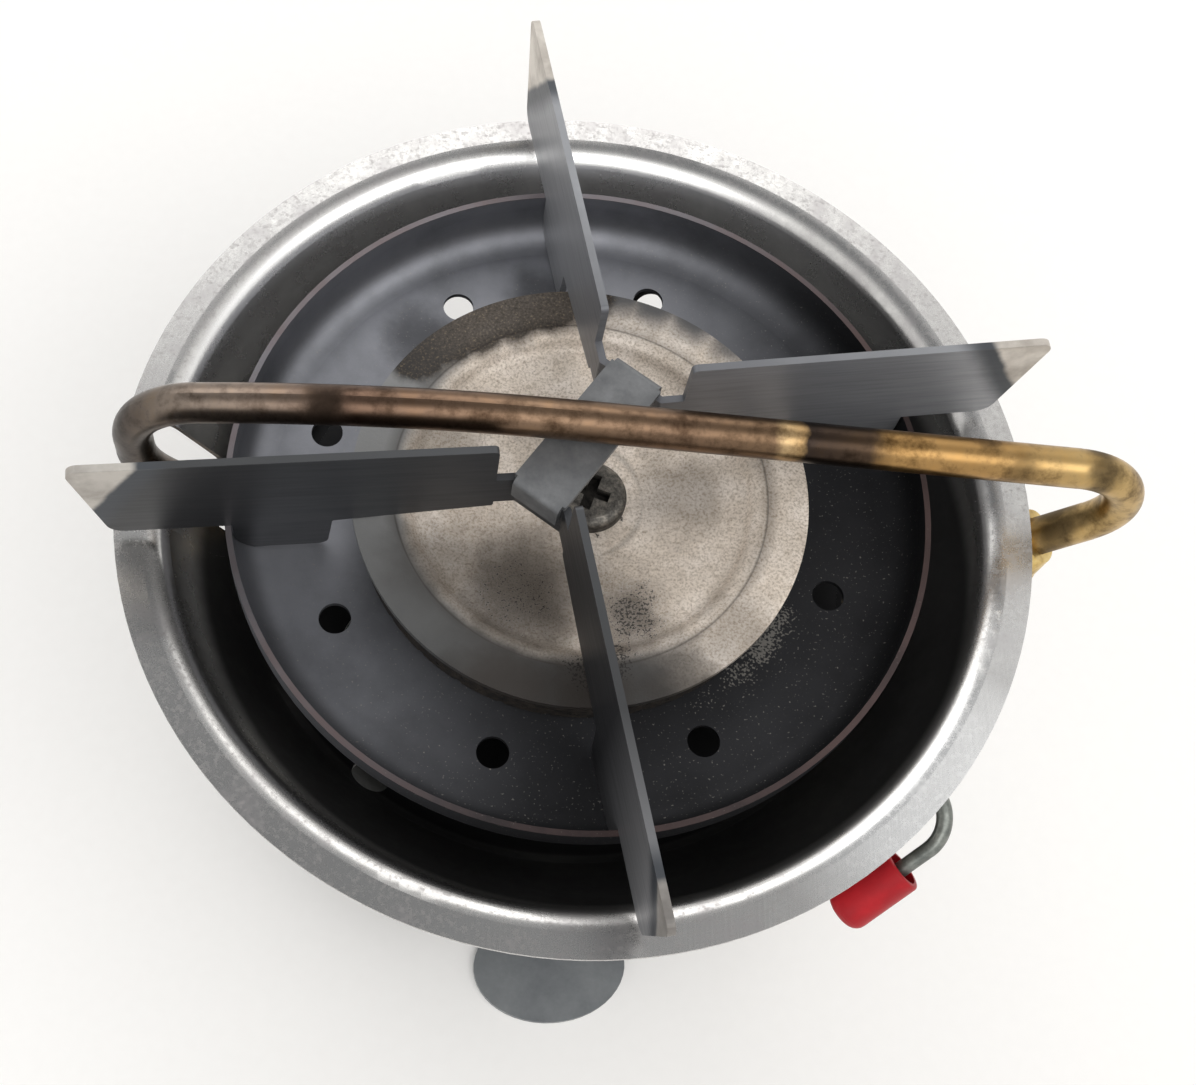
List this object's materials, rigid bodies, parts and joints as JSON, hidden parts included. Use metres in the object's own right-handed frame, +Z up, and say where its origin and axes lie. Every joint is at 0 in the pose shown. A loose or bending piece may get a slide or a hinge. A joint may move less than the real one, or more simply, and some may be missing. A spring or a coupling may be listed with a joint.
{
  "type": "liquid fuel camping stove",
  "caption": "Liquid fuel camping stove: round tank on feet with pump and filler, lever valve, generator tube looped over a capped burner, windshield bowl and crossed-strip pan grate.",
  "frame": {"origin": "on the floor under the burner's and bowl's axis", "axes": "+Z up along the bowl's axis, +X towards the valve and the generator's loop, -Y towards the front foot"},
  "size_m": [0.1807, 0.1635, 0.1398],
  "materials": {
    "tank_enamel": "satin stove enamel",
    "foot_steel": "dark satin steel",
    "plated_steel": "dull plated steel",
    "bowl_steel": "scratched bright sheet",
    "burner_iron": "sooted casting",
    "dish_steel": "heat-darkened sheet",
    "ring_steel": "sooted rings",
    "cap_steel": "burnt sandy sheet",
    "screw_steel": "mottled dark steel",
    "generator_brass": "heat-stained brass tube",
    "valve_brass": "turned brass",
    "packing": "black packing",
    "wire_steel": "dull wire",
    "grip_red": "moulded red plastic",
    "pump_black": "moulded black plastic",
    "cup_leather": "oiled leather",
    "grate_steel": "dark plated strip"
  },
  "bodies": {
    "stove": {"tank_bottom": "tank_enamel", "tank_top": "tank_enamel", "foot_front": "foot_steel", "foot_right": "foot_steel", "foot_left": "foot_steel", "pedestal": "plated_steel", "pedestal_screws": "plated_steel", "pump_barrel": "plated_steel", "filler_neck": "plated_steel", "windshield_bowl": "bowl_steel", "burner_base": "burner_iron", "mixing_tube": "burner_iron", "burner_dish": "dish_steel", "wavy_ring_low": "ring_steel", "wavy_ring_middle": "ring_steel", "wavy_ring_top": "ring_steel", "flat_ring_low": "ring_steel", "flat_ring_top": "ring_steel", "burner_cap": "cap_steel", "cap_screw": "screw_steel", "generator_tube": "generator_brass", "generator_nut": "generator_brass", "generator_jet": "valve_brass", "valve_body": "valve_brass", "fuel_pickup": "valve_brass", "packing_nut": "valve_brass", "check_valve": "valve_brass", "stem_packing": "packing", "barrel_cap": "pump_black", "grate_long": "grate_steel", "grate_short": "grate_steel", "grate_strap": "grate_steel"},
    "lever": {"valve_stem": "valve_brass", "lever_wire": "wire_steel", "lever_grip": "grip_red"},
    "plunger": {"pump_cup": "cup_leather", "cup_retainer": "plated_steel"},
    "knob": {"pump_rod": "plated_steel", "pump_knob": "pump_black"},
    "filler_seal": {"filler_gasket": "packing"},
    "filler_lid": {"filler_cap": "plated_steel"},
    "ball": {"check_ball": "plated_steel"}
  },
  "joints": [
    {"name": "lever_turn", "type": "hinge", "parent": "stove", "child": "lever", "pos_m": [0.038, 0.00317, 0.078], "axis": [0.6212, -0.7837, 0], "range_deg": [-35, 145]},
    {"name": "plunger_stroke", "type": "slide", "parent": "stove", "child": "plunger", "axis": [0, 0.866, 0.5], "range_m": [0, 0.04]},
    {"name": "knob_turn", "type": "hinge", "parent": "plunger", "child": "knob", "pos_m": [0, 0.05816, 0.057], "axis": [0, 0.866, 0.5], "range_deg": [0, 360]},
    {"name": "filler_lift", "type": "slide", "parent": "stove", "child": "filler_seal", "axis": [-0.6124, 0.3536, 0.7071], "range_m": [0, 0.0031]},
    {"name": "filler_turn", "type": "hinge", "parent": "filler_seal", "child": "filler_lid", "pos_m": [-0.04899, 0.02829, 0.05907], "axis": [-0.6124, 0.3536, 0.7071], "range_deg": [0, 720]},
    {"name": "ball_lift", "type": "slide", "parent": "stove", "child": "ball", "axis": [0, 0.866, 0.5], "range_m": [0, 0.0013]}
  ],
  "couplings": [
    {"joint": "filler_lift", "follows": "filler_turn", "m_per_rad": 0.00023873}
  ]
}
